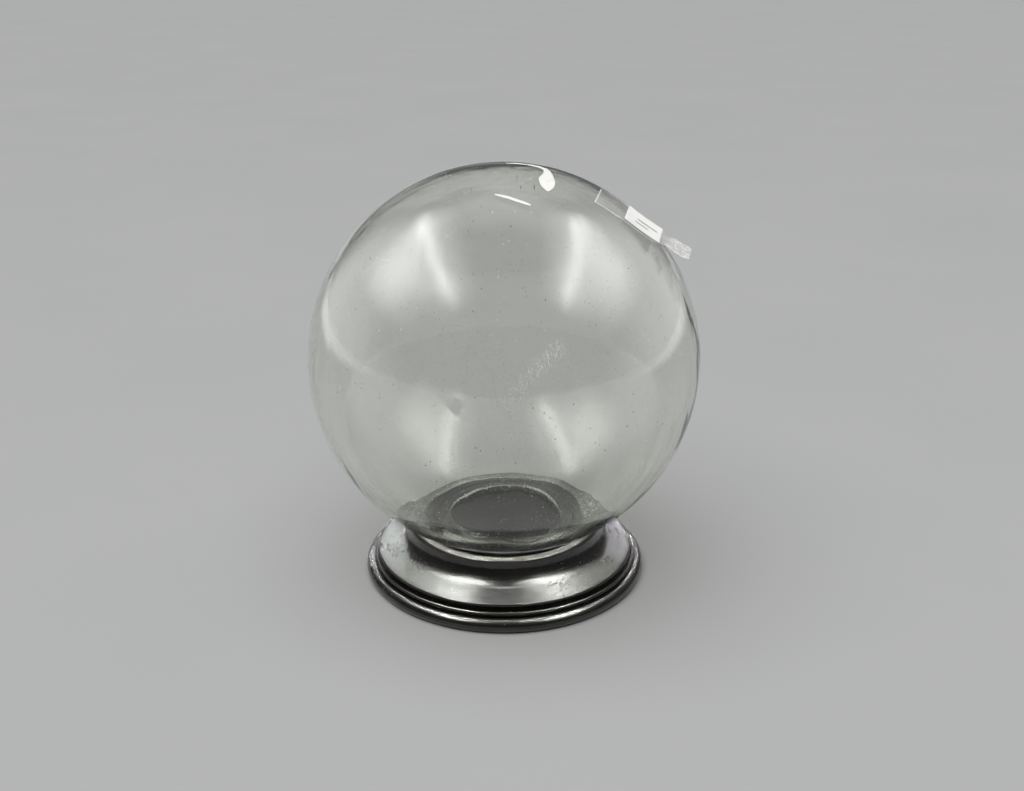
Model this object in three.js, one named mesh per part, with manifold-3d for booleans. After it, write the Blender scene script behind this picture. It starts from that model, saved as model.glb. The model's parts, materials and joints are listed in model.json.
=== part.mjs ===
// Globe display dome on a turned, ebonised base.
// A blown glass globe, open at the bottom, nests in a dished wooden stage. It lifts straight off.
// Millimetres, +Z up. The origin is at the centre of the underside.

import * as THREE from 'three';
import { mergeVertices } from 'three/addons/utils/BufferGeometryUtils.js';
import Module from 'manifold-3d';

// ---------------------------------------------------------------- driving dimensions

const SIDES = 48;                  // facets round every large turned piece
const GAP = 0.3;                   // clearance between touching pieces
const SLACK = 0.5;                 // clearance where curved faces lie over each other

const GLOBE_R = 152.5;             // outer radius of the glass
const GLOBE_WALL = 3.2;
const CENTRE_Z = 180;              // height of the globe's centre
const FOLD_R = 57.2;               // inside this radius the rim is folded inwards and level
const RIM = { mouth: 46, top: 44.5, bottom: 39.3 };

const BAIZE = 1.2;                 // thickness of the cloth under the base
const BAIZE_R = 105;

const PLINTH_BOTTOM = BAIZE + GAP;
const TORUS = { r: 109.2, z: 4.9, radius: 5.5 };        // big half-round at the floor
const LOW_GROOVE = { r: 106.2, z: 9.9 };
const BEAD = { r: 105.9, z: 12.9, radius: 1.5 };        // thin bead between the two grooves
const HIGH_GROOVE = { r: 103.6, z: 14 };
const JOINT_Z = 15.6;              // plinth and stage meet in the upper groove
const JOINT_R = 102.8;

const EDGE = { r: 102.8, z: 18.6, radius: 1.5 };        // rounded outer edge of the stage
const COVE = { r: 92.4, z: 39.5, radius: 16, fall: 15 };  // sweep from the neck, then a slope to the edge
const NECK = { r: 75.2, z: 40.6, radius: 1.2 };         // fine edge round the seat

const SEAT_CLOTH = 1.4;            // baize ring between glass and wood
const SEAT_CLOTH_IN = 50;
const SEAT_CLOTH_OUT = 66;
const WELL_R = 46.8;               // sunk hole that holds the display floor
const WELL_Z = 29;
const FLOOR_R = 46.4;
const FLOOR_TOP = 38.2;            // just below the globe's rim

const SCREW = { count: 3, ring: 60, length: 24, head: 4.2, shank: 2, headDepth: 2.6, slot: 1 };

const TAPE = { azimuth: -15.9, elevation: 62, heading: 5, stuck: 26, length: 81, width: 38 };
const TAPE_CURL = 0.00225;         // how fast the loose end bends away from the glass, 1/mm
const TAPE_THICK = 0.4;
const LABEL = { from: 25, to: 56, width: 36, thick: 0.4 };
const PAPER_THICK = 0.4;

const DEG = Math.PI / 180;

// ---------------------------------------------------------------- materials

const finish = (color, roughness, metalness = 0) =>
  new THREE.MeshStandardMaterial({ color, roughness, metalness });

const GLASS = finish(0xc9d3cb, 0.04);
const EBONISED = finish(0x17130f, 0.35);
const CLOTH = finish(0x14181a, 0.95);
const STEEL = finish(0x8c8a84, 0.4, 1);
const CLEAR_TAPE = finish(0xd8d6c8, 0.25);
const PAPER = finish(0xf0efe9, 0.8);

// ---------------------------------------------------------------- solid helpers

const wasm = await Module();
wasm.setup();

function toSolid(geometry) {
  const bare = geometry.clone();
  bare.deleteAttribute('normal');
  bare.deleteAttribute('uv');
  const merged = mergeVertices(bare, 1e-4);
  return new wasm.Manifold(new wasm.Mesh({
    numProp: 3,
    vertProperties: new Float32Array(merged.attributes.position.array),
    triVerts: new Uint32Array(merged.index.array),
  }));
}

function toGeometry(solid) {
  const mesh = solid.getMesh();
  const geometry = new THREE.BufferGeometry();
  geometry.setAttribute('position', new THREE.BufferAttribute(mesh.vertProperties, 3));
  geometry.setIndex(new THREE.BufferAttribute(mesh.triVerts, 1));
  geometry.computeVertexNormals();
  return geometry;
}

function cut(geometry, tools) {
  let solid = toSolid(geometry);
  for (const tool of tools) solid = solid.subtract(toSolid(tool));
  return toGeometry(solid);
}

// Turns [radius, height] points round +Z. The points run from the bottom, out and up, to the top.
function turned(profile, sides = SIDES) {
  const points = profile.map(([r, z]) => new THREE.Vector2(r, z));
  return new THREE.LatheGeometry(points, sides).rotateX(Math.PI / 2);
}

// Points on a circle in the profile plane. Angles in degrees, 0 is outward and 90 is up.
function arc(r, z, radius, from, to, steps) {
  return Array.from({ length: steps + 1 }, (_, i) => {
    const angle = (from + ((to - from) * i) / steps) * DEG;
    return [r + radius * Math.cos(angle), z + radius * Math.sin(angle)];
  });
}

// Points on a sphere about the globe's centre, between two radii below its equator.
function belowCentre(radius, fromR, toR, steps) {
  const from = -Math.acos(fromR / radius) / DEG;
  const to = -Math.acos(toR / radius) / DEG;
  return arc(0, CENTRE_Z, radius, from, to, steps);
}

function part(name, geometry, material) {
  const mesh = new THREE.Mesh(geometry, material);
  mesh.name = name;
  return mesh;
}

// ---------------------------------------------------------------- glass

// From the crown down the inside to the folded rim, round the mouth, and up the outside.
function glassGlobe() {
  const inner = GLOBE_R - GLOBE_WALL;
  const roll = (RIM.top - RIM.bottom) / 2;
  const seatR = Math.sqrt(GLOBE_R ** 2 - (CENTRE_Z - RIM.bottom) ** 2);
  const profile = [
    ...arc(0, CENTRE_Z, inner, 90, 0, 11),
    ...belowCentre(inner, inner, FOLD_R + 2.4, 8).slice(1),
    [FOLD_R, RIM.top],
    ...arc(RIM.mouth + roll, RIM.bottom + roll, roll, 90, 270, 6),
    ...belowCentre(GLOBE_R, seatR, GLOBE_R, 9),
    ...arc(0, CENTRE_Z, GLOBE_R, 0, 90, 11).slice(1),
  ];
  return part('glass_globe', turned(profile), GLASS);
}

// ---------------------------------------------------------------- turned base

const screwAngles = Array.from({ length: SCREW.count }, (_, i) => (90 + (360 / SCREW.count) * i) * DEG);
const atScrew = (geometry, angle) =>
  geometry.translate(SCREW.ring * Math.cos(angle), SCREW.ring * Math.sin(angle), 0);

// Countersunk screw standing head down, with its head flush with the plinth's underside.
function screwProfile(clearance) {
  const bottom = clearance ? PLINTH_BOTTOM - 1 : PLINTH_BOTTOM;
  const neckZ = PLINTH_BOTTOM + SCREW.headDepth;
  const tipZ = PLINTH_BOTTOM + SCREW.length;
  return [
    [0, bottom],
    [SCREW.head + clearance, bottom],
    [SCREW.head + clearance, PLINTH_BOTTOM + 0.4],
    [SCREW.shank + clearance, neckZ + clearance],
    [SCREW.shank + clearance, tipZ - 4 + clearance],
    [0, tipZ + clearance * 2],
  ];
}

const screwHoles = () => screwAngles.map((angle) => atScrew(turned(screwProfile(GAP), 16), angle));

function basePlinth() {
  const footAngle = Math.asin((PLINTH_BOTTOM - TORUS.z) / TORUS.radius) / DEG;
  const profile = [
    [0, PLINTH_BOTTOM],
    ...arc(TORUS.r, TORUS.z, TORUS.radius, footAngle, 118, 9),
    [LOW_GROOVE.r, LOW_GROOVE.z],
    ...arc(BEAD.r, BEAD.z, BEAD.radius, -60, 130, 7),
    [HIGH_GROOVE.r, HIGH_GROOVE.z],
    [JOINT_R, JOINT_Z - GAP / 2],
    [0, JOINT_Z - GAP / 2],
  ];
  return part('base_plinth', cut(turned(profile), screwHoles()), EBONISED);
}

function baseStage() {
  const dish = GLOBE_R + SLACK + SEAT_CLOTH + SLACK;
  const rimZ = NECK.z + NECK.radius;
  const rimR = Math.sqrt(dish ** 2 - (CENTRE_Z - rimZ) ** 2);
  const profile = [
    [0, JOINT_Z + GAP / 2],
    [JOINT_R, JOINT_Z + GAP / 2],
    ...arc(EDGE.r, EDGE.z, EDGE.radius, -50, 90 - COVE.fall, 6),
    ...arc(COVE.r, COVE.z, COVE.radius, 270 - COVE.fall, 180, 9),
    ...arc(NECK.r, NECK.z, NECK.radius, 0, 90, 4),
    ...belowCentre(dish, rimR, WELL_R, 8),
    [WELL_R, WELL_Z],
    [0, WELL_Z],
  ];
  return part('base_stage', cut(turned(profile), screwHoles()), EBONISED);
}

function displayFloor() {
  const profile = [
    [0, WELL_Z + GAP],
    [FLOOR_R, WELL_Z + GAP],
    [FLOOR_R, FLOOR_TOP - 0.8],
    [FLOOR_R - 0.8, FLOOR_TOP],
    [0, FLOOR_TOP],
  ];
  return part('display_floor', turned(profile), EBONISED);
}

function seatBaizeRing() {
  const over = belowCentre(GLOBE_R + SLACK, SEAT_CLOTH_OUT, SEAT_CLOTH_IN, 6);
  const under = belowCentre(GLOBE_R + SLACK + SEAT_CLOTH, SEAT_CLOTH_IN, SEAT_CLOTH_OUT, 6);
  const profile = [...under, ...over];
  return part('seat_baize_ring', turned([...profile, profile[0]]), CLOTH);
}

function undersideBaize() {
  const profile = [[0, 0], [BAIZE_R, 0], [BAIZE_R, BAIZE], [0, BAIZE]];
  return part('underside_baize', turned(profile), CLOTH);
}

function woodScrew(index) {
  const body = turned(screwProfile(0), 16);
  const slot = new THREE.BoxGeometry(SCREW.head * 3, SCREW.slot, SCREW.slot * 2);
  slot.translate(0, 0, PLINTH_BOTTOM);
  const screw = cut(body, [slot]);
  return part(`wood_screw_${index + 1}`, atScrew(screw, screwAngles[index]), STEEL);
}

// ---------------------------------------------------------------- tape, label and paper

// Unit vectors at a place on the globe: out of the glass, along a heading, and across it.
// A heading of 0 runs straight down the globe, and 90 runs east round it.
function onGlobe(azimuth, elevation, heading) {
  const a = azimuth * DEG;
  const e = elevation * DEG;
  const out = new THREE.Vector3(Math.cos(e) * Math.cos(a), Math.cos(e) * Math.sin(a), Math.sin(e));
  const east = new THREE.Vector3(-Math.sin(a), Math.cos(a), 0);
  const down = new THREE.Vector3().crossVectors(east, out);
  const along = down.multiplyScalar(Math.cos(heading * DEG)).addScaledVector(east, Math.sin(heading * DEG));
  const across = new THREE.Vector3().crossVectors(along, out);
  return { out, along, across };
}

// Side view of the tape: x runs along it and y out of the glass, both from the globe's centre.
function tapePoint(distance, height) {
  const radius = GLOBE_R + GAP + height;
  const bend = Math.min(distance, TAPE.stuck) / GLOBE_R;
  const free = Math.max(distance - TAPE.stuck, 0);
  const point = new THREE.Vector2(Math.sin(bend), Math.cos(bend)).multiplyScalar(radius);
  const tangent = new THREE.Vector2(Math.cos(bend), -Math.sin(bend));
  const normal = new THREE.Vector2(Math.sin(bend), Math.cos(bend));
  return point.addScaledVector(tangent, free).addScaledVector(normal, TAPE_CURL * free * free);
}

function tapeLayer(from, to, height, thick, width, steps) {
  const distances = Array.from({ length: steps + 1 }, (_, i) => from + ((to - from) * i) / steps);
  const under = distances.map((d) => tapePoint(d, height));
  const over = distances.map((d) => tapePoint(d, height + thick)).reverse();
  const layer = new THREE.ExtrudeGeometry(new THREE.Shape([...under, ...over]), {
    depth: width, steps: 1, bevelEnabled: false,
  });
  return layer.translate(0, 0, -width / 2);
}

function placeTapeLayer(mesh) {
  const { out, along, across } = onGlobe(TAPE.azimuth, TAPE.elevation, TAPE.heading);
  mesh.quaternion.setFromRotationMatrix(new THREE.Matrix4().makeBasis(along, out, across));
  mesh.position.set(0, 0, CENTRE_Z);
  return mesh;
}

function clearTape() {
  const layer = tapeLayer(0, TAPE.length, 0, TAPE_THICK, TAPE.width, 18);
  return placeTapeLayer(part('clear_tape', layer, CLEAR_TAPE));
}

function lotLabel() {
  const layer = tapeLayer(LABEL.from, LABEL.to, TAPE_THICK + GAP, LABEL.thick, LABEL.width, 8);
  return placeTapeLayer(part('lot_label', layer, PAPER));
}

// A shred of paper laid over the globe's crown. Each row holds the [x, y] of its left and right edges.
function paperShred(name, rows) {
  const layer = (lift) => rows.flat().map(([x, y]) =>
    [x, y, CENTRE_Z + Math.sqrt((GLOBE_R + GAP + lift) ** 2 - x * x - y * y)]);
  const last = rows.length * 2 - 2;
  const top = rows.length * 2;
  const quads = [[0, 1, top + 1, top], [last + 1, last, top + last, top + last + 1]];
  for (let left = 0; left < last; left += 2) {
    const [right, nextLeft, nextRight] = [left + 1, left + 2, left + 3];
    quads.push([left, nextLeft, nextRight, right]);
    quads.push([top + left, top + right, top + nextRight, top + nextLeft]);
    quads.push([right, nextRight, top + nextRight, top + right]);
    quads.push([nextLeft, left, top + left, top + nextLeft]);
  }
  const shred = new THREE.BufferGeometry();
  const points = [...layer(0), ...layer(PAPER_THICK)].flat();
  shred.setAttribute('position', new THREE.Float32BufferAttribute(points, 3));
  shred.setIndex(quads.flatMap(([a, b, c, d]) => [a, b, c, a, c, d]));
  shred.computeVertexNormals();
  return part(name, shred, PAPER);
}

// A torn end, and a thin tail that curls away over the crown.
function paperScrap() {
  const end = [
    [[29.9, -46.6], [31.6, -46.9]], [[27.6, -43.2], [34, -43.6]], [[25.9, -38.5], [36, -38.3]],
    [[25.1, -33], [36.9, -32]], [[25.6, -27], [36.6, -26]], [[27.6, -22], [35.9, -20.5]],
    [[28.8, -16.5], [35.1, -14.5]],
  ];
  const tail = [
    [[29.3, -11.5], [34, -8.5]], [[28.4, -7.4], [31.6, -3.4]], [[25.6, -4.2], [27.4, 0.2]],
    [[21.6, -1.9], [22.4, 2.2]], [[16.6, -0.7], [16.8, 2.9]], [[11.4, -0.3], [11.4, 3]],
    [[6.4, 0], [6.4, 2.7]], [[1.8, 0.5], [1.8, 1.9]],
  ];
  return paperShred('paper_scrap', [...end, ...tail]);
}

function paperSliver() {
  return paperShred('paper_sliver', [
    [[-6.6, -55.9], [-6.2, -57.2]], [[-1.5, -57], [-1.9, -59.6]], [[3.5, -59], [3.1, -61.8]],
    [[8.5, -61], [8.1, -63.9]], [[13.5, -63.2], [13.1, -65.8]], [[18.8, -66], [18.6, -67.2]],
  ]);
}

// ---------------------------------------------------------------- assembly

const base = new THREE.Group();
base.add(undersideBaize(), basePlinth(), baseStage(), displayFloor(), seatBaizeRing());
for (let i = 0; i < SCREW.count; i += 1) base.add(woodScrew(i));

const dome = new THREE.Group();
dome.add(glassGlobe(), clearTape(), lotLabel(), paperScrap(), paperSliver());

const model = new THREE.Group();
model.add(base, dome);

export default model;
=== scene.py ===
"""Looks for the globe display dome: a blown glass globe nested in a turned, ebonised base.

Everything is in metres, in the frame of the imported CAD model. Helper profiles are in millimetres.
"""

import json
import math

import bpy
import numpy as np
from mathutils import Euler, Matrix, Vector, noise

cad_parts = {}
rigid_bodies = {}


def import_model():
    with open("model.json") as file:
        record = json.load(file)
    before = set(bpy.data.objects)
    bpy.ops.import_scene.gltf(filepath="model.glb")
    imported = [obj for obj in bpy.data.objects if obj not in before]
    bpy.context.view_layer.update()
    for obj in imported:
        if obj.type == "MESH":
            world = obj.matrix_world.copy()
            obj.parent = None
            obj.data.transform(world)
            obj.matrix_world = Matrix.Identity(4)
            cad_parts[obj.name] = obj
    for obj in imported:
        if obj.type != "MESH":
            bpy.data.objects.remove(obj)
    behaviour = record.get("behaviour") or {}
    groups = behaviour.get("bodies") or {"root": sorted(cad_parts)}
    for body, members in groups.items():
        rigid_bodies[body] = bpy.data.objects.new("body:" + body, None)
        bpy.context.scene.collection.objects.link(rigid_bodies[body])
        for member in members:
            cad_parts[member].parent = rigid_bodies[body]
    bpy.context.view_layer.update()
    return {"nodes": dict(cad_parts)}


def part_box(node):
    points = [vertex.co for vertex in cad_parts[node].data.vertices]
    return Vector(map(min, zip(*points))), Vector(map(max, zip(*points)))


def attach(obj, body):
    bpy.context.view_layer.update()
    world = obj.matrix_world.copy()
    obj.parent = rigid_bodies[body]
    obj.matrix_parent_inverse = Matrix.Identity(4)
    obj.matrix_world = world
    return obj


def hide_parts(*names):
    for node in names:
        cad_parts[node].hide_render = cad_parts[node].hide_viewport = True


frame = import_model()

MM = 0.001
TAU = 2 * math.pi

# ---------------------------------------------------------------- places taken from the CAD

globe_low, globe_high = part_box("glass_globe")
R = (globe_high.x - globe_low.x) / 2 / MM            # outer radius of the glass, mm
CENTRE_Z = globe_high.z / MM - R
MOUTH_Z = globe_low.z / MM
CENTRE = Vector((0, 0, CENTRE_Z * MM))

WALL = 3.2                                           # mm, glass
FOLD_R = 57.2                                        # the rim is folded in and level inside this radius
RIM_ROLL = 2.6                                       # half the rim's thickness
MOUTH_R = 46.0
RIM_TOP = MOUTH_Z + 2 * RIM_ROLL

# ---------------------------------------------------------------- camera

CAMERA_REACH = 6.19 * R * MM
CAMERA_HEIGHT = math.radians(19.79)
scene = bpy.context.scene
camera_data = bpy.data.cameras.new("camera")
camera_data.sensor_width = 36
camera_data.lens = 42.19
camera_data.clip_end = 60
camera = bpy.data.objects.new("camera", camera_data)
camera.location = CENTRE + Vector((0, -math.cos(CAMERA_HEIGHT), math.sin(CAMERA_HEIGHT))) * CAMERA_REACH
camera.rotation_euler = Euler((math.radians(90 - 21.56), 0, math.radians(-0.396)))
scene.collection.objects.link(camera)
scene.camera = camera

# ---------------------------------------------------------------- node helpers


class Graph:
    """A shader node tree with short ways to add nodes. A socket given as a value is linked."""

    def __init__(self, tree):
        self.tree = tree
        tree.nodes.clear()

    def put(self, socket, value):
        if isinstance(value, bpy.types.NodeSocket):
            self.tree.links.new(value, socket)
        else:
            socket.default_value = value

    def node(self, kind, settings=None, **inputs):
        made = self.tree.nodes.new("ShaderNode" + kind)
        for key, value in (settings or {}).items():
            setattr(made, key, value)
        for key, value in inputs.items():
            self.put(made.inputs[key.replace("_", " ")], value)
        return made

    def math(self, operation, a, b=0.5):
        made = self.node("Math", {"operation": operation})
        self.put(made.inputs[0], a)
        self.put(made.inputs[1], b)
        return made.outputs[0]

    def length(self, vector):
        made = self.node("VectorMath", {"operation": "LENGTH"})
        self.put(made.inputs[0], vector)
        return made.outputs["Value"]

    def span(self, value, low, high, to_low=0.0, to_high=1.0):
        """Runs smoothly from to_low to to_high as the value goes from low to high."""
        made = self.node("MapRange", {"interpolation_type": "SMOOTHSTEP"})
        for name, item in zip(("Value", "From Min", "From Max", "To Min", "To Max"),
                              (value, low, high, to_low, to_high)):
            self.put(made.inputs[name], item)
        return made.outputs[0]

    def noise(self, vector, scale, detail=3.0, rough=0.55, warp=0.0):
        return self.node("TexNoise", Vector=vector, Scale=scale, Detail=detail,
                         Roughness=rough, Distortion=warp).outputs["Fac"]

    def specks(self, vector, scale, size):
        """1 inside small round specks scattered through space, 0 elsewhere, and a random number for each.
        size is a share of the cell."""
        made = self.node("TexVoronoi", Vector=vector, Scale=scale, Randomness=1.0)
        near = self.span(made.outputs["Distance"], size * 0.55, size, 1.0, 0.0)
        pick = self.node("SeparateColor", Color=made.outputs["Color"]).outputs[0]
        return near, pick

    def mix(self, factor, a, b):
        made = self.node("Mix", {"data_type": "RGBA"})
        self.put(made.inputs[0], factor)
        self.put(made.inputs[6], a)
        self.put(made.inputs[7], b)
        return made.outputs[2]

    def stretch(self, vector, scale):
        return self.node("Mapping", {"vector_type": "POINT"}, Vector=vector, Scale=scale).outputs[0]

    def bump(self, height, strength, distance, normal=None):
        made = self.node("Bump", Height=height, Strength=strength, Distance=distance)
        if normal is not None:
            self.put(made.inputs["Normal"], normal)
        return made.outputs[0]

    def attribute(self, name):
        return self.node("Attribute", {"attribute_name": name}).outputs["Fac"]


def rgb(r, g, b):
    return (r, g, b, 1.0)


def material(name):
    made = bpy.data.materials.new(name)
    made.use_nodes = True
    graph = Graph(made.node_tree)
    where = graph.node("TexCoord").outputs["Object"]
    return made, graph, where


def principled(graph, **inputs):
    return graph.node("BsdfPrincipled", {"distribution": "MULTI_GGX"}, **inputs)


def surface(graph, shader, volume=None):
    out = graph.node("OutputMaterial")
    graph.tree.links.new(shader, out.inputs["Surface"])
    if volume is not None:
        graph.tree.links.new(volume, out.inputs["Volume"])


def round_z(graph, where):
    """Radius from the Z axis, and coordinates that run round it: (angle, radius, height)."""
    split = graph.node("SeparateXYZ", Vector=where)
    flat = graph.node("CombineXYZ", X=split.outputs[0], Y=split.outputs[1], Z=0.0).outputs[0]
    radius = graph.length(flat)
    angle = graph.math("ARCTAN2", split.outputs[1], split.outputs[0])
    return radius, angle, split.outputs[2]


# ---------------------------------------------------------------- materials


def make_clear_glass():
    made, g, p = material("clear_glass")
    dust, dust_pick = g.specks(p, 260.0, 0.16)
    dust = g.math("MULTIPLY", dust, g.span(dust_pick, 0.80, 0.86))
    grain, grain_pick = g.specks(p, 620.0, 0.2)
    grain = g.math("MULTIPLY", grain, g.span(grain_pick, 0.62, 0.7))
    cloud = g.noise(p, 9.0, 4.0, 0.6)
    grain = g.math("MULTIPLY", grain, g.span(cloud, 0.42, 0.66))
    rim = g.attribute("rim")
    scuff = g.attribute("scuff")
    streaks = g.noise(g.stretch(p, (800.0, 120.0, 260.0)), 1.0, 3.0, 0.65, 0.6)
    scuff = g.math("MULTIPLY", scuff, g.span(streaks, 0.47, 0.6))
    hair = g.noise(g.stretch(p, (26.0, 18.0, 9.0)), 1.0, 1.0, 0.4, 0.6)
    hair = g.span(g.math("ABSOLUTE", g.math("SUBTRACT", hair, 0.5)), 0.0, 0.0011, 1.0, 0.0)
    hair = g.math("MULTIPLY", hair, g.span(g.noise(p, 7.0, 1.0), 0.56, 0.66))
    ground = g.math("MULTIPLY", rim, g.span(g.noise(p, 420.0, 4.0, 0.75), 0.57, 0.66))
    marks = g.math("MAXIMUM", g.math("MAXIMUM", dust, grain), g.math("MAXIMUM", scuff, hair))
    marks = g.math("MAXIMUM", marks, ground)
    film = g.span(g.noise(p, 14.0, 5.0, 0.62, 0.4), 0.35, 0.8, 0.0, 0.035)
    haze = g.math("MAXIMUM", g.math("MULTIPLY", marks, 0.8), film)
    clear = g.math("SUBTRACT", 1.0, haze)
    rough = g.math("ADD", g.span(g.noise(p, 20.0, 4.0, 0.6, 0.5), 0.4, 0.75, 0.0, 0.05),
                   g.math("MULTIPLY", marks, 0.3))
    ripple = g.bump(g.noise(g.stretch(p, (30.0, 30.0, 12.0)), 1.0, 2.0), 0.32, 0.0012)
    shade = g.mix(marks, rgb(0.955, 0.965, 0.955), rgb(0.93, 0.93, 0.91))
    glass = principled(g, Base_Color=shade, Roughness=rough, IOR=1.5,
                       Transmission_Weight=clear, Normal=ripple)
    lamp = g.node("BsdfTransparent", Color=rgb(0.89, 0.89, 0.89)).outputs[0]
    path = g.node("LightPath").outputs["Is Shadow Ray"]
    both = g.node("MixShader", Fac=path)
    g.tree.links.new(glass.outputs[0], both.inputs[1])
    g.tree.links.new(lamp, both.inputs[2])
    body = g.node("VolumeAbsorption", Color=rgb(0.74, 0.79, 0.56), Density=32.0).outputs[0]
    surface(g, both.outputs[0], body)
    return made


def make_ebonised_wood():
    made, g, p = material("ebonised_wood")
    radius, angle, height = round_z(g, p)
    grain = g.noise(g.stretch(p, (9.0, 130.0, 130.0)), 1.0, 5.0, 0.62, 0.3)
    pores = g.noise(g.stretch(p, (45.0, 900.0, 900.0)), 1.0, 2.0, 0.5)
    pores = g.span(pores, 0.60, 0.70)

    def rings(across, along):
        """Coordinates for marks that run round the turned piece."""
        return g.node("CombineXYZ", X=g.math("MULTIPLY", radius, across),
                      Y=g.math("MULTIPLY", angle, along), Z=g.math("MULTIPLY", height, across)).outputs[0]

    turning = g.noise(rings(1500.0, 2.6), 1.0, 3.0, 0.6)
    streaks = g.noise(rings(420.0, 5.0), 1.0, 4.0, 0.65)
    blotch = g.noise(p, 24.0, 5.0, 0.65, 0.3)
    worn = g.attribute("wear")
    rub = g.span(g.math("ADD", g.math("MULTIPLY", worn, 0.6),
                        g.math("MULTIPLY", g.noise(p, 130.0, 5.0, 0.7), 0.62)), 0.60, 0.84)
    scuffed = g.attribute("scuffed")
    scuffs = g.noise(g.stretch(p, (900.0, 260.0, 500.0)), 1.0, 4.0, 0.7, 0.5)
    scuffs = g.math("MULTIPLY", scuffed, g.span(scuffs, 0.52, 0.63))
    chips = g.math("MULTIPLY", g.attribute("chipped"), g.span(g.noise(p, 330.0, 3.0, 0.7), 0.55, 0.63))
    marks = g.math("MAXIMUM", scuffs, chips)
    dust, pick = g.specks(p, 520.0, 0.17)
    dust = g.math("MULTIPLY", dust, g.span(pick, 0.80, 0.86))
    black = g.mix(g.span(blotch, 0.35, 0.7), rgb(0.0022, 0.0021, 0.0021), rgb(0.005, 0.0046, 0.0044))
    black = g.mix(g.math("MULTIPLY", g.span(grain, 0.45, 0.7), 0.4), black, rgb(0.009, 0.0062, 0.0046))
    brown = g.mix(g.span(grain, 0.3, 0.7), rgb(0.034, 0.015, 0.008), rgb(0.062, 0.03, 0.0165))
    shade = g.mix(g.math("MULTIPLY", rub, 0.7), black, brown)
    shade = g.mix(g.math("MULTIPLY", marks, 0.3), shade, rgb(0.11, 0.115, 0.12))
    shade = g.mix(g.math("MULTIPLY", dust, 0.6), shade, rgb(0.36, 0.36, 0.35))
    rough = g.math("ADD", g.span(blotch, 0.3, 0.75, 0.15, 0.22), g.span(streaks, 0.35, 0.7, 0.0, 0.08))
    rough = g.math("ADD", rough, g.math("MULTIPLY", g.math("MAXIMUM", marks, dust), 0.15))
    rough = g.math("ADD", rough, g.math("MULTIPLY", rub, 0.12))
    bump = g.bump(turning, 0.12, 0.00012)
    bump = g.bump(streaks, 0.14, 0.00035, bump)
    bump = g.bump(pores, -0.15, 0.00012, bump)
    bump = g.bump(g.noise(p, 40.0, 3.0, 0.5), 0.15, 0.0006, bump)
    wood = principled(g, Base_Color=shade, Roughness=rough, IOR=1.5, Normal=bump,
                      Coat_Weight=g.span(streaks, 0.3, 0.7, 0.9, 0.5), Coat_Roughness=0.13, Coat_IOR=1.5)
    surface(g, wood.outputs[0])
    return made


def make_display_black():
    made, g, p = material("display_black")
    nap = g.noise(p, 260.0, 4.0, 0.65)
    broad = g.noise(p, 34.0, 4.0, 0.6)
    scuff = g.attribute("scuffed")
    dust, pick = g.specks(p, 420.0, 0.2)
    dust = g.math("MAXIMUM", g.math("MULTIPLY", dust, g.span(pick, 0.72, 0.8)), scuff)
    shade = g.mix(g.span(broad, 0.3, 0.7), rgb(0.021, 0.022, 0.0215), rgb(0.033, 0.034, 0.032))
    shade = g.mix(g.math("MULTIPLY", dust, 0.7), shade, rgb(0.30, 0.30, 0.28))
    floor = principled(g, Base_Color=shade, Roughness=g.span(nap, 0.3, 0.7, 0.38, 0.55), IOR=1.5,
                       Normal=g.bump(nap, 0.3, 0.0004))
    surface(g, floor.outputs[0])
    return made


def make_baize():
    made, g, p = material("black_baize")
    fibre = g.noise(g.stretch(p, (900.0, 2600.0, 1500.0)), 1.0, 4.0, 0.7, 1.2)
    nap = g.noise(p, 130.0, 4.0, 0.6)
    shade = g.mix(g.span(fibre, 0.35, 0.68), rgb(0.006, 0.0065, 0.007), rgb(0.024, 0.025, 0.027))
    shade = g.mix(g.math("MULTIPLY", g.span(nap, 0.4, 0.7), 0.4), shade, rgb(0.034, 0.034, 0.034))
    lint, pick = g.specks(p, 360.0, 0.2)
    lint = g.math("MULTIPLY", lint, g.span(pick, 0.85, 0.9))
    shade = g.mix(g.math("MULTIPLY", lint, 0.5), shade, rgb(0.3, 0.29, 0.27))
    bump = g.bump(fibre, 0.8, 0.0004)
    cloth = principled(g, Base_Color=shade, Roughness=0.95, Normal=bump,
                       Sheen_Weight=0.5, Sheen_Roughness=0.5, Sheen_Tint=rgb(0.5, 0.5, 0.52),
                       Specular_IOR_Level=0.2)
    surface(g, cloth.outputs[0])
    return made


def make_screw_steel():
    made, g, p = material("screw_steel")
    turn = g.noise(g.stretch(p, (1500.0, 1500.0, 4000.0)), 1.0, 3.0)
    rust = g.noise(p, 600.0, 5.0, 0.65)
    shade = g.mix(g.span(rust, 0.5, 0.68), rgb(0.42, 0.41, 0.39), rgb(0.11, 0.055, 0.03))
    rough = g.span(rust, 0.4, 0.7, 0.3, 0.7)
    metal = g.span(rust, 0.55, 0.68, 1.0, 0.25)
    steel = principled(g, Base_Color=shade, Metallic=metal, Roughness=rough,
                       Normal=g.bump(turn, 0.3, 0.0001))
    surface(g, steel.outputs[0])
    return made


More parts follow.
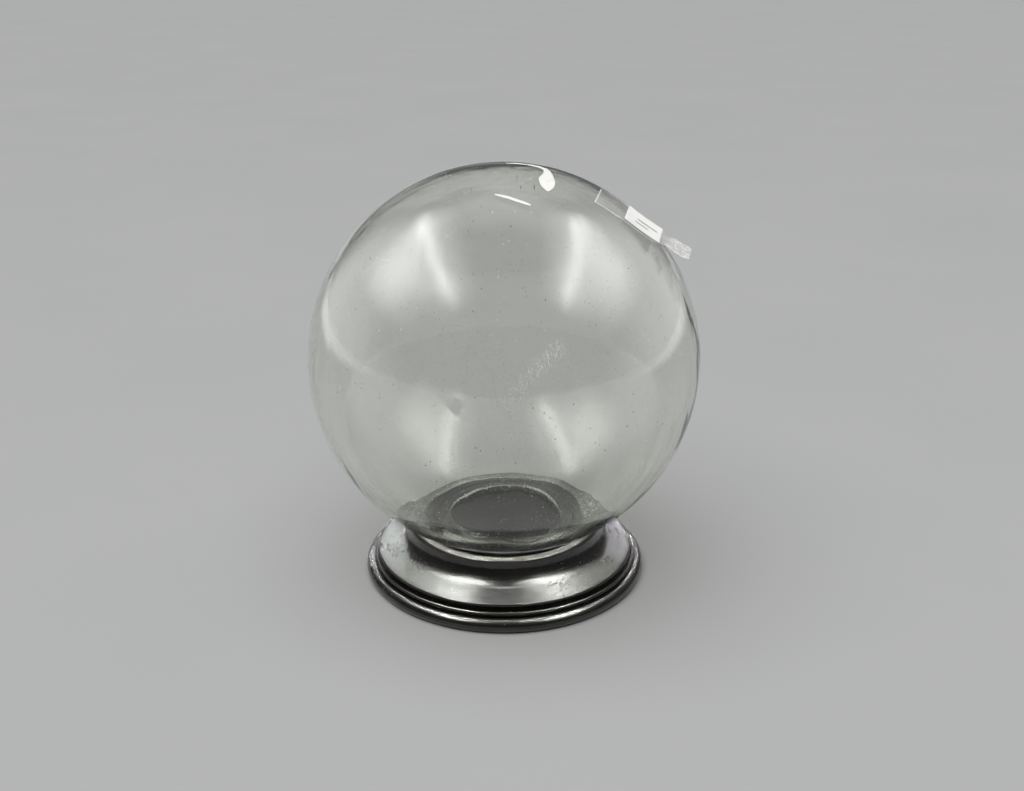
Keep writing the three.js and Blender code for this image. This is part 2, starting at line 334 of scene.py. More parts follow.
def make_clear_tape():
    made, g, p = material("clear_tape")
    edge = g.attribute("edge")
    crease = g.attribute("crease")
    bubble, pick = g.specks(p, 420.0, 0.42)
    bubble = g.math("MULTIPLY", bubble, g.span(pick, 0.6, 0.72))
    smear = g.noise(p, 120.0, 4.0, 0.65, 0.5)
    milk = g.math("MAXIMUM", g.math("MULTIPLY", edge, 0.9),
                  g.math("MULTIPLY", crease, g.span(g.noise(p, 330.0, 3.0, 0.6), 0.42, 0.62, 0.22, 0.6)))
    milk = g.math("MAXIMUM", milk, g.math("MULTIPLY", bubble, 0.22))
    milk = g.math("MAXIMUM", milk, g.span(smear, 0.35, 0.75, 0.06, 0.2))
    shade = g.mix(g.span(smear, 0.3, 0.7), rgb(0.86, 0.86, 0.84), rgb(0.91, 0.91, 0.89))
    film = principled(g, Base_Color=shade, IOR=1.48, Alpha=milk,
                      Roughness=g.span(smear, 0.3, 0.7, 0.12, 0.3),
                      Normal=g.bump(g.noise(p, 320.0, 3.0, 0.6), 0.35, 0.0003))
    gloss = g.node("BsdfGlossy", Color=rgb(1, 1, 1), Roughness=0.1)
    blend = g.node("MixShader", Fac=0.05)
    g.tree.links.new(film.outputs[0], blend.inputs[1])
    g.tree.links.new(gloss.outputs[0], blend.inputs[2])
    surface(g, blend.outputs[0])
    return made


def make_paper(name, warmth, ruled=False):
    made, g, p = material(name)
    fibre = g.noise(g.stretch(p, (1400.0, 2300.0, 1900.0)), 1.0, 4.0, 0.7, 1.0)
    soil = g.noise(p, 90.0, 5.0, 0.6)
    clean = rgb(0.86, 0.86 - warmth * 0.3, 0.84 - warmth)
    shade = g.mix(g.span(fibre, 0.3, 0.75), rgb(0.78, 0.78 - warmth * 0.3, 0.76 - warmth), clean)
    shade = g.mix(g.span(soil, 0.55, 0.8, 0.0, 0.45), shade, rgb(0.52, 0.48, 0.4))
    if ruled:
        along, across = g.attribute("along"), g.attribute("across")
        inked = 0.0
        for height, start, end in ((0.40, 0.30, 0.86), (0.62, 0.26, 0.62)):
            line = g.span(g.math("ABSOLUTE", g.math("SUBTRACT", across, height)), 0.022, 0.034, 1.0, 0.0)
            line = g.math("MULTIPLY", line, g.span(along, start, start + 0.02))
            line = g.math("MULTIPLY", line, g.span(along, end, end + 0.02, 1.0, 0.0))
            inked = g.math("MAXIMUM", line, inked)
        shade = g.mix(g.math("MULTIPLY", inked, 0.8), shade, rgb(0.06, 0.06, 0.065))
    paper = principled(g, Base_Color=shade, Roughness=g.span(fibre, 0.3, 0.7, 0.6, 0.8),
                       Normal=g.bump(fibre, 0.5, 0.00025),
                       Subsurface_Weight=0.15, Subsurface_Radius=(0.6, 0.6, 0.6),
                       Subsurface_Scale=0.0006)
    surface(g, paper.outputs[0])
    return made


def make_floor():
    made, g, p = material("studio_floor")
    broad = g.noise(p, 3.0, 3.0)
    fine = g.noise(p, 420.0, 3.0)
    shade = g.mix(broad, rgb(0.50, 0.505, 0.51), rgb(0.545, 0.545, 0.545))
    floor = principled(g, Base_Color=shade, Roughness=g.span(fine, 0.3, 0.7, 0.5, 0.6),
                       Specular_IOR_Level=0.3, Normal=g.bump(fine, 0.1, 0.0002))
    surface(g, floor.outputs[0])
    return made


CLEAR_GLASS = make_clear_glass()
EBONISED_WOOD = make_ebonised_wood()
DISPLAY_BLACK = make_display_black()
BLACK_BAIZE = make_baize()
SCREW_STEEL = make_screw_steel()
CLEAR_TAPE = make_clear_tape()
LABEL_PAPER = make_paper("label_paper", 0.0, ruled=True)
TORN_PAPER = make_paper("torn_paper", 0.03)

# ---------------------------------------------------------------- mesh helpers


def arc(r, z, radius, start, end, steps):
    """Points on a circle in the profile plane. Degrees: 0 is outward, 90 is up."""
    angles = [math.radians(start + (end - start) * i / steps) for i in range(steps + 1)]
    return [(r + radius * math.cos(a), z + radius * math.sin(a)) for a in angles]


def on_sphere(radius, start_r, end_r, steps):
    """Points below the equator of a sphere about the globe's centre, from one radius to another."""
    start = -math.degrees(math.acos(min(1, start_r / radius)))
    end = -math.degrees(math.acos(min(1, end_r / radius)))
    return arc(0, CENTRE_Z, radius, start, end, steps)


def even(profile, step):
    """The profile with points added so that no stretch is longer than step."""
    points = [profile[0]]
    for a, b in zip(profile, profile[1:]):
        count = max(1, math.ceil(math.dist(a, b) / step))
        points += [(a[0] + (b[0] - a[0]) * i / count, a[1] + (b[1] - a[1]) * i / count)
                   for i in range(1, count + 1)]
    return points


def smoothed(profile, rounds=2):
    """Chaikin corner cutting on a profile, ends kept."""
    points = profile
    for _ in range(rounds):
        cut = [points[0]]
        for a, b in zip(points, points[1:]):
            cut += [(a[0] * 0.75 + b[0] * 0.25, a[1] * 0.75 + b[1] * 0.25),
                    (a[0] * 0.25 + b[0] * 0.75, a[1] * 0.25 + b[1] * 0.75)]
        points = cut + [points[-1]]
    return points


def mesh_object(name, verts, faces, finish):
    mesh = bpy.data.meshes.new(name)
    mesh.from_pydata([tuple(v) for v in verts], [], faces)
    mesh.validate()
    mesh.update()
    mesh.polygons.foreach_set("use_smooth", [True] * len(mesh.polygons))
    made = bpy.data.objects.new(name, mesh)
    scene.collection.objects.link(made)
    mesh.materials.append(finish)
    return made


def lathe(name, profile, segments, finish, loop=False):
    """Turns (radius, height) points in mm round the Z axis. They run bottom, out, up, top."""
    verts, rows = [], []
    for r, z in profile:
        if r < 1e-6:
            rows.append([len(verts)] * segments)
            verts.append((0, 0, z * MM))
            continue
        rows.append([len(verts) + j for j in range(segments)])
        verts += [(r * MM * math.cos(TAU * j / segments), r * MM * math.sin(TAU * j / segments), z * MM)
                  for j in range(segments)]
    faces = []
    for low, high in zip(rows, rows[1:] + (rows[:1] if loop else [])):
        for j in range(segments):
            k = (j + 1) % segments
            face = list(dict.fromkeys((low[j], low[k], high[k], high[j])))
            if len(face) > 2:
                faces.append(face)
    return mesh_object(name, verts, faces, finish)


def coordinates(piece):
    flat = np.empty(len(piece.data.vertices) * 3)
    piece.data.vertices.foreach_get("co", flat)
    return flat.reshape(-1, 3)


def ripple(piece, height):
    """Moves each vertex along its normal by height(point in mm), in mm."""
    mesh = piece.data
    normals = np.array([tuple(n.vector) for n in mesh.vertex_normals])
    points = coordinates(piece)
    moves = np.array([height(Vector(p) / MM) for p in points])
    points += normals * moves[:, None] * MM
    mesh.vertices.foreach_set("co", points.ravel())
    mesh.update()


def store(piece, name, values):
    """Stores a number on each vertex, for the material."""
    piece.data.attributes.new(name, "FLOAT", "POINT").data.foreach_set("value", values)


def paint(piece, name, value):
    """Stores value(point in mm) on each vertex."""
    store(piece, name, [value(Vector(p) / MM) for p in coordinates(piece)])


def step(value, low, high):
    t = min(1.0, max(0.0, (value - low) / (high - low)))
    return t * t * (3 - 2 * t)


def belongs(piece, body, node):
    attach(piece, body)
    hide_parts(node)


# ---------------------------------------------------------------- glass globe


def globe_profile():
    """Inside from the crown down to the folded rim, round the mouth, and up the outside."""
    inner = R - WALL
    seat_r = math.sqrt(R ** 2 - (CENTRE_Z - MOUTH_Z) ** 2)
    inside = arc(0, CENTRE_Z, inner, 90, 0, 60) + on_sphere(inner, inner, FOLD_R + 4.2, 52)[1:]
    fold = smoothed([inside[-1]] + on_sphere(inner, FOLD_R + 1.9, FOLD_R + 1.3, 1)
                    + [(FOLD_R + 0.9, RIM_TOP - 0.9), (FOLD_R + 0.1, RIM_TOP + 0.35),
                       (FOLD_R - 1.4, RIM_TOP + 0.3), (FOLD_R - 2.6, RIM_TOP)], 3)[1:]
    roll_r = MOUTH_R + RIM_ROLL
    level = even([fold[-1], (roll_r, RIM_TOP)], 0.8)[1:-1]
    roll = arc(roll_r, RIM_TOP - RIM_ROLL, RIM_ROLL, 90, 270, 30)
    under = smoothed([roll[-1], (seat_r - 1.5, MOUTH_Z)]
                     + on_sphere(R, seat_r + 1.5, seat_r + 1.5, 1)[:1], 3)
    outside = on_sphere(R, seat_r + 1.5, R, 62)[1:] + arc(0, CENTRE_Z, R, 0, 90, 64)[1:]
    return inside + fold + level + roll + under[1:] + outside


def blown(point):
    """How far blown glass strays from a true sphere, in mm."""
    out = point - CENTRE / MM
    depth = out.length
    inside = depth < R - WALL * 0.5
    broad = noise.noise(out / 62 + Vector((3.1, 0.4, 7.7)))
    swirl = noise.noise(Vector((out.x / 44 + out.z / 90, out.y / 44, out.z / 150 + 5.0)))
    near_rim = step(CENTRE_Z + out.z, 45, 62)
    if inside:
        lumps = noise.noise(out / 30 + Vector((9.0, 2.0, 1.0)))
        return (0.34 * broad + 0.2 * swirl + 0.2 * lumps) * near_rim
    return (0.16 * broad + 0.05 * swirl) * near_rim


globe = lathe("glass_globe_blown", globe_profile(), 320, CLEAR_GLASS)
ripple(globe, blown)


def rim_mark(point):
    reach = math.hypot(point.x, point.y)
    return 1.0 - step(reach, MOUTH_R + 0.6, MOUTH_R + 2.6) if point.z < CENTRE_Z else 0.0


SCUFF_FROM = Vector((3.8, -150.4, 24.9))
SCUFF_TO = Vector((36.9, -135.9, 58.4))


def scuff_mark(point):
    out = point - CENTRE / MM
    if out.length < R - 1:
        return 0.0
    along = SCUFF_TO - SCUFF_FROM
    t = (out - SCUFF_FROM).dot(along) / along.length_squared
    if not -0.15 < t < 1.15:
        return 0.0
    away = (out - (SCUFF_FROM + along * t)).length
    wobble = 1.5 * noise.noise(out / 6)
    return (1 - step(away + wobble, 3.0, 8.5)) * step(t, -0.15, 0.1) * (1 - step(t, 0.85, 1.15))


paint(globe, "rim", rim_mark)
paint(globe, "scuff", scuff_mark)
belongs(globe, "dome", "glass_globe")

# ---------------------------------------------------------------- turned base

plinth_low, plinth_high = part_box("base_plinth")
stage_low, stage_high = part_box("base_stage")
floor_low, floor_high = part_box("display_floor")

PLINTH_BOTTOM = plinth_low.z / MM
PLINTH_TOP = plinth_high.z / MM
STAGE_BOTTOM = stage_low.z / MM
NECK_TOP = stage_high.z / MM
TORUS_RADIUS = 5.5                                   # mm, the big half-round at the foot
TORUS_R = plinth_high.x / MM - TORUS_RADIUS
TORUS_Z = 4.9
BEAD_R, BEAD_Z, BEAD_RADIUS = 105.9, 12.9, 1.5       # the thin bead between the grooves
EDGE_R, EDGE_Z, EDGE_RADIUS = 102.8, 18.6, 1.5       # the outer edge of the stage
COVE_R, COVE_Z, COVE_RADIUS = 92.4, 39.5, 16         # the sweep up to the neck
NECK_R, NECK_RADIUS = 75.2, 1.2
CLOTH_GAP, CLOTH_THICK = 0.5, 1.4                    # round the baize ring in the seat
FLOOR_R = floor_high.x / MM
FLOOR_TOP = floor_high.z / MM
WELL_R = FLOOR_R + 0.4
WELL_Z = floor_low.z / MM - 0.3


def plinth_profile():
    foot = -math.degrees(math.asin((TORUS_Z - PLINTH_BOTTOM) / TORUS_RADIUS))
    torus = arc(TORUS_R, TORUS_Z, TORUS_RADIUS, foot, 118, 40)
    bead = arc(BEAD_R, BEAD_Z, BEAD_RADIUS, -65, 130, 24)
    low_groove = [(105.6, 9.7), (104.6, 10.1), (104.7, 10.9)]
    high_groove = [(103.9, 13.95), (102.6, 14.0)]
    return (even([(0, PLINTH_BOTTOM), torus[0]], 3)[:-1] + torus + low_groove + bead + high_groove
            + even([(101.0, 14.4), (100.6, PLINTH_TOP), (0, PLINTH_TOP)], 3))


def stage_profile():
    edge = arc(EDGE_R, EDGE_Z, EDGE_RADIUS, -50, 75, 18)
    cove = arc(COVE_R, COVE_Z, COVE_RADIUS, 255, 180, 34)
    neck = arc(NECK_R, NECK_TOP - NECK_RADIUS, NECK_RADIUS, 0, 90, 10)
    dish = R + CLOTH_GAP + CLOTH_THICK + CLOTH_GAP
    rim_r = math.sqrt(dish ** 2 - (CENTRE_Z - NECK_TOP) ** 2)
    flat = smoothed([neck[-1], (rim_r + 0.8, NECK_TOP), (rim_r, NECK_TOP - 0.2)] +
                    on_sphere(dish, rim_r - 1.2, rim_r - 1.2, 1)[:1], 2)
    under = even([(0, STAGE_BOTTOM), (100.8, STAGE_BOTTOM)], 4) + [(101.2, 16.6), (102.4, 17.2)]
    slope = even([edge[-1], cove[0]], 1.2)[1:-1]
    rise = even([cove[-1], neck[0]], 1.0)[1:-1]
    well = even([(WELL_R, WELL_Z), (0, WELL_Z)], 2)
    return (under + edge + slope + cove + rise + neck + flat[1:]
            + on_sphere(dish, rim_r - 2, WELL_R, 22) + well)


def handled(point):
    """Small dents and the lathe's unevenness, in mm."""
    return 0.10 * noise.noise(point / 17) + 0.035 * noise.noise(point / 4.5)


def edge_wear(point):
    """Where the black has rubbed through, from 0 to 1."""
    reach = math.hypot(point.x, point.y)
    cove = math.exp(-((point.z - 31) / 5) ** 2) * step(90 - reach, 0, 6) * 0.4
    foot = math.exp(-((point.z - 3.0) / 2.2) ** 2) * step(reach, 111, 113) * 0.8
    edge = math.exp(-((reach - 103.9) / 0.8) ** 2) * step(point.z, 17, 18.5) * 0.35
    return max(cove, foot, edge)


def near(point, x, y, spread):
    """1 at x, y and fading away from it over about spread mm."""
    return math.exp(-((point.x - x) ** 2 + (point.y - y) ** 2) / spread ** 2)


def scuff_wear(point):
    """Patches of fine pale scratches on top of the stage."""
    patches = (near(point, -88, -22, 12) + 0.8 * near(point, -74, -52, 9)
               + 0.9 * near(point, 50, -80, 15) + 0.5 * near(point, 84, -44, 10))
    return min(1, patches) * step(point.z, 17, 19)


def chip_wear(point):
    """Chips round the left side of the big half-round."""
    reach = math.hypot(point.x, point.y)
    return step(-point.x, 72, 104) * step(reach, 108.5, 111) * (1 - step(-point.y, 70, 95)) * 0.9


for name, profile, node in (("base_plinth_turned", plinth_profile(), "base_plinth"),
                            ("base_stage_turned", stage_profile(), "base_stage")):
    turned = lathe(name, profile, 384, EBONISED_WOOD)
    ripple(turned, handled)
    paint(turned, "wear", edge_wear)
    paint(turned, "scuffed", scuff_wear)
    paint(turned, "chipped", chip_wear)
    belongs(turned, "base", node)


def floor_scuff(point):
    """A small curved scratch near the middle of the display floor."""
    x, y = point.x - 2.0, point.y + 2.0
    ring = math.exp(-((math.hypot(x, y) - 3.4) / 0.5) ** 2)
    return ring * step(-x + 0.6 * y, -2.5, 1.0) * (0.7 + 0.6 * noise.noise(point / 1.2))


FLOOR_LOW = floor_low.z / MM
disc_profile = ([(0, FLOOR_LOW), (FLOOR_R - 0.6, FLOOR_LOW), (FLOOR_R, FLOOR_LOW + 0.6),
                 (FLOOR_R, FLOOR_TOP - 1.0)] + arc(FLOOR_R - 1.0, FLOOR_TOP - 1.0, 1.0, 0, 90, 6)[1:]
                + even([(FLOOR_R - 1.2, FLOOR_TOP), (0, FLOOR_TOP)], 0.5))
disc = lathe("display_floor_disc", disc_profile, 256, DISPLAY_BLACK)
ripple(disc, lambda point: 0.05 * noise.noise(point / 12))
paint(disc, "scuffed", floor_scuff)
belongs(disc, "base", "display_floor")

# ---------------------------------------------------------------- baize

baize_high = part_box("underside_baize")[1]
ring_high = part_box("seat_baize_ring")[1]
BAIZE_R = baize_high.x / MM
BAIZE_TOP = baize_high.z / MM
RING_OUT = ring_high.x / MM
RING_IN = 50.0

felt = lathe("underside_baize_cloth", even([(0, 0.12), (BAIZE_R - 0.5, 0.12)], 1.5)
             + arc(BAIZE_R - 0.5, 0.6, 0.5, -80, 80, 6)
             + even([(BAIZE_R - 0.6, BAIZE_TOP), (0, BAIZE_TOP)], 1.5), 256, BLACK_BAIZE)
ripple(felt, lambda point: 0.05 * noise.noise(point / 3.0))
belongs(felt, "base", "underside_baize")

under = on_sphere(R + CLOTH_GAP + CLOTH_THICK, RING_IN, RING_OUT, 18)
over = on_sphere(R + CLOTH_GAP + 0.05, RING_OUT - 0.3, RING_IN + 0.3, 18)
ring = lathe("seat_baize_ring_cloth", under + over, 256, BLACK_BAIZE, loop=True)
ripple(ring, lambda point: 0.04 * noise.noise(point / 2.5))
belongs(ring, "base", "seat_baize_ring")

# ---------------------------------------------------------------- screws

for index in (1, 2, 3):
    screw = frame["nodes"][f"wood_screw_{index}"]
    for slot in screw.material_slots:
        slot.material = SCREW_STEEL

# ---------------------------------------------------------------- things stuck on the glass


def on_globe(azimuth, elevation, heading):
    """Out of the glass, along a heading and across it. Heading 0 is down the globe, 90 is east."""
    a, e, h = math.radians(azimuth), math.radians(elevation), math.radians(heading)
    out = Vector((math.cos(e) * math.cos(a), math.cos(e) * math.sin(a), math.sin(e)))
    east = Vector((-math.sin(a), math.cos(a), 0))
    down = east.cross(out)
    along = down * math.cos(h) + east * math.sin(h)
    return out, along, along.cross(out)


def strip(name, length_steps, width_steps, place, thick, finish):
    """A thin closed sheet. place(u, v) gives its middle and its normal in mm, u and v from 0 to 1."""
    verts, faces = [], []
    rows, columns = length_steps + 1, width_steps + 1
    for side in (1, -1):
        for i in range(rows):
            for j in range(columns):
                centre, normal = place(i / length_steps, j / width_steps)
                verts.append((centre + normal * (side * thick / 2)) * MM)
    count = rows * columns
    for i in range(length_steps):
        for j in range(width_steps):
            a, b, c, d = (i * columns + j, (i + 1) * columns + j,
                          (i + 1) * columns + j + 1, i * columns + j + 1)
            faces.append((a, b, c, d))
            faces.append((d + count, c + count, b + count, a + count))
    border = ([(i, 0) for i in range(length_steps)]
              + [(length_steps, j) for j in range(width_steps)]
              + [(i, width_steps) for i in range(length_steps, 0, -1)]
              + [(0, j) for j in range(width_steps, 0, -1)])
    loop = [i * columns + j for i, j in border]
    for a, b in zip(loop, loop[1:] + loop[:1]):
        faces.append((b, a, a + count, b + count))
    return mesh_object(name, verts, faces, finish)


def spots(piece, length_steps, width_steps):
    """How far along and across its strip each vertex is, from 0 to 1."""
    columns = width_steps + 1
    count = (length_steps + 1) * columns
    for index in range(len(piece.data.vertices)):
        i, j = divmod(index % count, columns)
        yield i / length_steps, j / width_steps


TAPE_OUT, TAPE_ALONG, TAPE_ACROSS = on_globe(-15.9, 62, 5)
TAPE_STUCK, TAPE_LENGTH = 26.0, 81.0                 # mm, the stuck part and the whole
TAPE_CURL = 0.00225                                  # how fast the free part bends away from the glass
TAPE_HALF, TAPE_END_HALF = 19.0, 10.6                # half widths
TAPE_STEPS = (90, 36)


def tape_point(distance, height, across):
    """A point on the tape, with its normal, in mm."""
    radius = R + height
    bend = min(distance, TAPE_STUCK) / R
    free = max(distance - TAPE_STUCK, 0)
    normal2 = Vector((math.sin(bend), math.cos(bend)))
    tangent2 = Vector((math.cos(bend), -math.sin(bend)))
    flat = normal2 * radius + tangent2 * free + normal2 * (TAPE_CURL * free * free)
    lean = 2 * TAPE_CURL * free
    facing = (normal2 - tangent2 * lean).normalized()
    point = TAPE_ALONG * flat.x + TAPE_OUT * flat.y + TAPE_ACROSS * across
    normal = TAPE_ALONG * facing.x + TAPE_OUT * facing.y
    if distance < TAPE_STUCK:
        hug = 1 - step(distance, TAPE_STUCK - 8, TAPE_STUCK)
        wrapped = point.normalized() * radius
        point = point.lerp(wrapped, hug)
        normal = normal.lerp(point.normalized(), hug).normalized()
    return CENTRE / MM + point, normal


def tape_half_width(distance):
    narrow = step(distance, 52, 62)
    half = TAPE_HALF + (TAPE_END_HALF - TAPE_HALF) * narrow
    return half + 0.35 * noise.noise(Vector((distance / 2.2, 4.0, 1.0)))


def tape_place(u, v):
    distance = u * TAPE_LENGTH
    if u < 0.001:
        distance += 0.9 * abs(((v * 18) % 1) - 0.5)
    if u > 0.999:
        distance -= 2.4 * abs(((v * 7 + 0.3) % 1) - 0.5)
    half = tape_half_width(distance)
    across = (v * 2 - 1) * half
    crumple = step(distance, 54, 66)
    wave = 1.5 * crumple * math.sin(v * 9.0 + distance / 9) * (0.4 + 0.6 * abs(v * 2 - 1))
    wave += 1.3 * crumple * noise.noise(Vector((distance / 7, v * 3.2, 8.0)))
    point, normal = tape_point(distance, 0.2, across)
    return point + normal * wave, normal


def tape_edge(u, v):
    rim = min(v, 1 - v) * 2 * TAPE_HALF
    end = min(u, 1 - u) * TAPE_LENGTH
    return max(1 - step(rim, 0.4, 1.5), 1 - step(end, 0.5, 1.6))


tape = strip("clear_tape_film", *TAPE_STEPS, tape_place, 0.1, CLEAR_TAPE)
store(tape, "edge", [tape_edge(u, v) for u, v in spots(tape, *TAPE_STEPS)])
store(tape, "crease", [step(u * TAPE_LENGTH, 55, 68) for u, _ in spots(tape, *TAPE_STEPS)])
belongs(tape, "dome", "clear_tape")

LABEL_FROM, LABEL_TO, LABEL_HALF = 25.0, 56.0, 18.0  # mm along the tape, and half the width
LABEL_STEPS = (30, 34)


def label_place(u, v):
    distance = LABEL_FROM + (LABEL_TO - LABEL_FROM) * u
    across = (v * 2 - 1) * LABEL_HALF
    curl = 0.5 * (v * 2 - 1) ** 4 + 0.25 * noise.noise(Vector((u * 2.4, v * 2.8, 2.0)))
    point, normal = tape_point(distance, 0.75, across)
    return point + normal * curl, normal


label = strip("lot_label_sheet", *LABEL_STEPS, label_place, 0.18, LABEL_PAPER)
store(label, "along", [u for u, _ in spots(label, *LABEL_STEPS)])
store(label, "across", [v for _, v in spots(label, *LABEL_STEPS)])
belongs(label, "dome", "lot_label")


def shred(name, node, teeth, rows):
    """A torn shred laid over the crown. Each row has its left and right edges, in mm from above, and a
    smooth curve joins the rows. teeth is how far the left edge is torn."""
    last = len(rows) - 1

    def place(u, v):
        t = u * last
        k = min(int(t), last - 1)
        around = [Vector((*rows[n][0], *rows[n][1])) for n in (max(k - 1, 0), k, k + 1, min(k + 2, last))]
        f = t - k
        spot = (around[0] * (-f + 2 * f * f - f ** 3) + around[1] * (2 - 5 * f * f + 3 * f ** 3)
                + around[2] * (f + 4 * f * f - 3 * f ** 3) + around[3] * (-f * f + f ** 3)) / 2
        left, right = Vector(spot[:2]), Vector(spot[2:])
        jag = teeth * noise.noise(Vector((t * 4.1, 2.0, 9.0))) * (1 - v) ** 2
        jag += teeth * 0.3 * noise.noise(Vector((t * 3.3, 7.0, 1.0))) * v ** 2
        flat = left.lerp(right, v) + (left - right).normalized() * jag
        lift = 0.55 + 0.25 * noise.noise(Vector((flat.x / 5, flat.y / 5, 3.0)))
        point = Vector((flat.x, flat.y, math.sqrt((R + lift) ** 2 - flat.length_squared)))
        return CENTRE / MM + point, point.normalized()

    made = strip(name, 6 * last, 12, place, 0.16, TORN_PAPER)
    belongs(made, "dome", node)
    return made


scrap = shred("paper_scrap_torn", "paper_scrap", 1.6, [
    ((29.9, -46.6), (31.6, -46.9)), ((27.6, -43.2), (34, -43.6)), ((25.9, -38.5), (36, -38.3)),
    ((25.1, -33), (36.9, -32)), ((25.6, -27), (36.6, -26)), ((27.6, -22), (35.9, -20.5)),
    ((28.8, -16.5), (35.1, -14.5)), ((29.3, -11.5), (34, -8.5)), ((28.4, -7.4), (31.6, -3.4)),
    ((25.6, -4.2), (27.4, 0.2)), ((21.6, -1.9), (22.4, 2.2)), ((16.6, -0.7), (16.8, 2.9)),
    ((11.4, -0.3), (11.4, 3)), ((6.4, 0), (6.4, 2.7)), ((1.8, 0.5), (1.8, 1.9))])
sliver = shred("paper_sliver_torn", "paper_sliver", 0.4, [
    ((-6.6, -55.9), (-6.2, -57.2)), ((-1.5, -57), (-1.9, -59.6)), ((3.5, -59), (3.1, -61.8)),
    ((8.5, -61), (8.1, -63.9)), ((13.5, -63.2), (13.1, -65.8)), ((18.8, -66), (18.6, -67.2))])

# ---------------------------------------------------------------- floor, light and finish

floor_mesh = bpy.data.meshes.new("studio_floor")
floor_mesh.from_pydata([(-14, -8, 0), (14, -8, 0), (14, 20, 0), (-14, 20, 0)], [], [(0, 1, 2, 3)])
studio_floor = bpy.data.objects.new("studio_floor", floor_mesh)
scene.collection.objects.link(studio_floor)
floor_mesh.materials.append(make_floor())


def softbox(name, place, width, length, power, lit, soft, turn=0.0, halo=1.0, aim=CENTRE):
    """A rectangular lamp that lights the collection lit. It fades towards its edges, over the shares soft
    of its width and of its length. A halo below 1 leaves that share of the light beside a bright middle
    line. The glass stands between the wood and its lamps, so those are sampled directly."""
    lamp = bpy.data.lights.new(name, "AREA")
    lamp.shape = "RECTANGLE"
    lamp.size, lamp.size_y = width, length
    lamp.energy = power
    lamp.cycles.use_multiple_importance_sampling = lit is not wood_alone
    lamp.use_nodes = True
    g = Graph(lamp.node_tree)
    spot = g.node("SeparateXYZ", Vector=g.node("NewGeometry").outputs["Parametric"])
    fade = []
    for side in (0, 1):
        off = g.math("ABSOLUTE", g.math("SUBTRACT", spot.outputs[side], 0.5))
        fade.append(g.span(off, 0.5 - soft[side], 0.5, 1.0, 0.0))
    core = g.math("MULTIPLY", g.math("POWER", fade[0], 8.0), 1.0 - halo)
    across = g.math("MULTIPLY", fade[0], g.math("ADD", core, halo))
    glow = g.node("Emission", Color=rgb(1, 1, 1), Strength=g.math("MULTIPLY", across, fade[1]))
    g.tree.links.new(glow.outputs[0], g.node("OutputLight").inputs[0])
    made = bpy.data.objects.new(name, lamp)
    back = (Vector(place) - Vector(aim)).normalized()
    up = Vector((0, 0, 1)) if abs(back.z) < 0.5 else Vector((0, 1, 0))
    side = up.cross(back).normalized()
    basis = Matrix((side, back.cross(side), back)).transposed()
    made.matrix_world = (Matrix.Translation(place)
                         @ (basis @ Matrix.Rotation(math.radians(turn), 3, "Z")).to_4x4())
    made.visible_camera = False
    scene.collection.objects.link(made)
    made.light_linking.receiver_collection = lit


def collection(name, pieces, state):
    """Pieces for light linking: a lamp lights only the ones included, or all but the ones excluded."""
    made = bpy.data.collections.new(name)
    for piece in pieces:
        made.objects.link(piece)
    for member in made.collection_objects:
        member.light_linking.link_state = state
    return made


stuck_on = [tape, label, scrap, sliver]
wooden = [item for item in scene.objects if item.name.startswith(("base_", "display_"))]
spared = collection("spared_by_the_strips", [studio_floor] + stuck_on, "EXCLUDE")
glass_side = collection("spared_by_the_panels", [studio_floor] + stuck_on + wooden, "EXCLUDE")
all_but_floor = collection("all_but_the_floor", [studio_floor], "EXCLUDE")
floor_and_paper = collection("floor_and_paper", [studio_floor] + stuck_on, "INCLUDE")
paper_alone = collection("paper_alone", stuck_on, "INCLUDE")
wood_alone = collection("wood_alone", [item for item in wooden if item != disc], "INCLUDE")


def upright(azimuth, reach, height):
    """A place to stand a panel, and the point on the axis that it faces. Azimuth 0 is behind."""
    a = math.radians(azimuth)
    return (reach * math.sin(a), reach * math.cos(a), height), (0, 0, height)


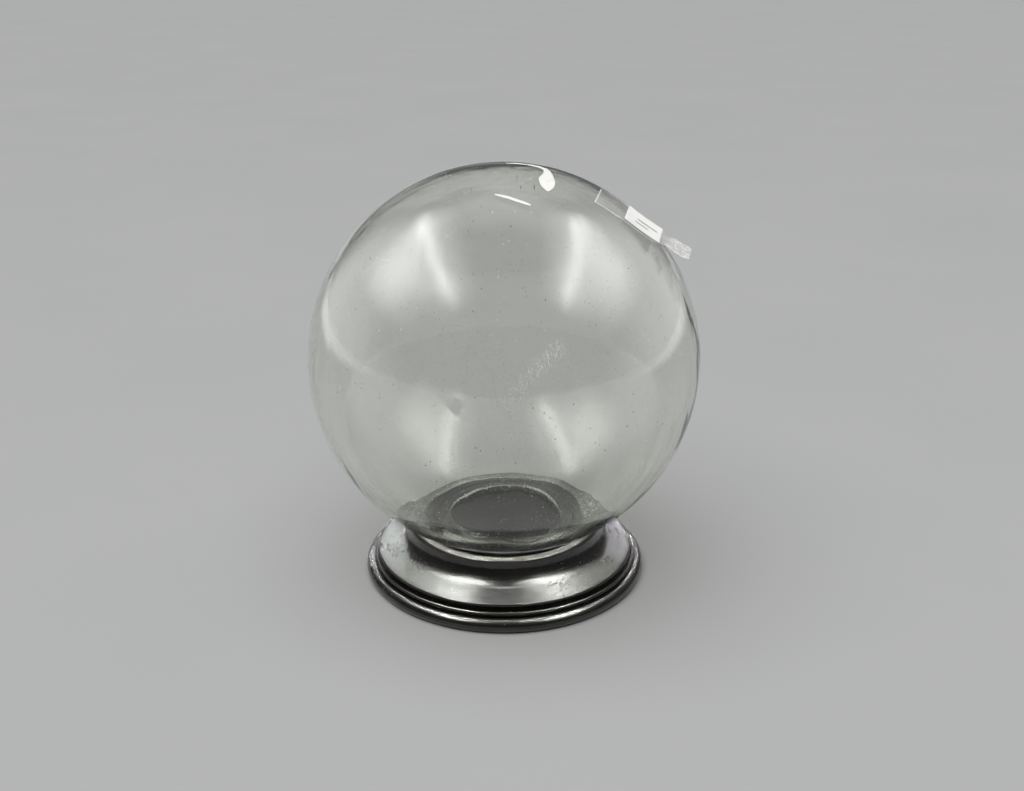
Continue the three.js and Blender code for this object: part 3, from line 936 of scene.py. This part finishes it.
softbox("softbox_left", (-0.64, -0.08, 1.2), 0.85, 1.9, 28, spared, turn=2, soft=(0.5, 0.3), halo=0.42)
softbox("softbox_right", (0.69, -0.11, 1.2), 0.85, 1.8, 26, spared, turn=8, soft=(0.5, 0.3), halo=0.42)
softbox("halo_left", (-0.98, -0.05, 1.0), 0.9, 1.5, 13, glass_side, turn=2, soft=(0.5, 0.45))
softbox("halo_right", (1.02, -0.08, 1.0), 0.9, 1.5, 11, glass_side, turn=8, soft=(0.5, 0.45))
softbox("wood_left", (-0.46, 0.02, 1.2), 0.7, 1.3, 95, wood_alone, soft=(0.4, 0.35))
softbox("wood_right", (0.46, 0.02, 1.2), 0.7, 1.3, 88, wood_alone, soft=(0.4, 0.35))

for azimuth, name, width, power, soft in ((-72, "left", 2.4, 17, 0.4), (72, "right", 2.4, 17, 0.4),
                                          (0, "back", 2.6, 2.5, 0.2)):
    place, aim = upright(azimuth, 1.45, 1.09)
    softbox(f"{name}_panel", place, width, 2.1, power, glass_side, soft=(soft, 0.05), aim=aim)
softbox("top_panel", (0, 0.75, 2.2), 2.4, 1.7, 10, all_but_floor, soft=(0.4, 0.4))
for azimuth, name in ((-21, "left"), (21, "right")):
    place, aim = upright(azimuth, 1.05, 1.5)
    softbox(f"wood_back_{name}", place, 0.55, 1.2, 30, wood_alone, soft=(0.45, 0.45))
place, aim = upright(-5, 1.45, 1.09)
softbox("wood_back", place, 2.6, 2.1, 62, wood_alone, soft=(0.3, 0.1), aim=aim)
softbox("wood_top", (0, 0.45, 1.75), 0.6, 0.5, 9, wood_alone, soft=(0.4, 0.4))

for name, energy, spread, turn_x, turn_y, lit in (("floor_light", 2.6, 70, 12, -8, floor_and_paper),
                                                  ("paper_light", 1.1, 50, 30, 40, paper_alone)):
    sun = bpy.data.lights.new(name, "SUN")
    sun.angle = math.radians(spread)
    sun.energy = energy
    made = bpy.data.objects.new(name, sun)
    made.rotation_euler = (math.radians(turn_x), math.radians(turn_y), 0)
    made.light_linking.receiver_collection = lit
    scene.collection.objects.link(made)

world = bpy.data.worlds.new("studio")
scene.world = world
world.use_nodes = True
g = Graph(world.node_tree)
up = g.node("SeparateXYZ", Vector=g.node("TexCoord").outputs["Generated"]).outputs[2]
shade = g.mix(g.span(up, -0.1, 0.7), rgb(0.05, 0.051, 0.053), rgb(0.1, 0.1, 0.1))
sky = g.node("Background", Color=shade, Strength=1.0)
g.tree.links.new(sky.outputs[0], g.node("OutputWorld").inputs[0])

scene.view_settings.view_transform = "Standard"
scene.cycles.caustics_reflective = False
scene.cycles.caustics_refractive = False
scene.cycles.transparent_max_bounces = 24
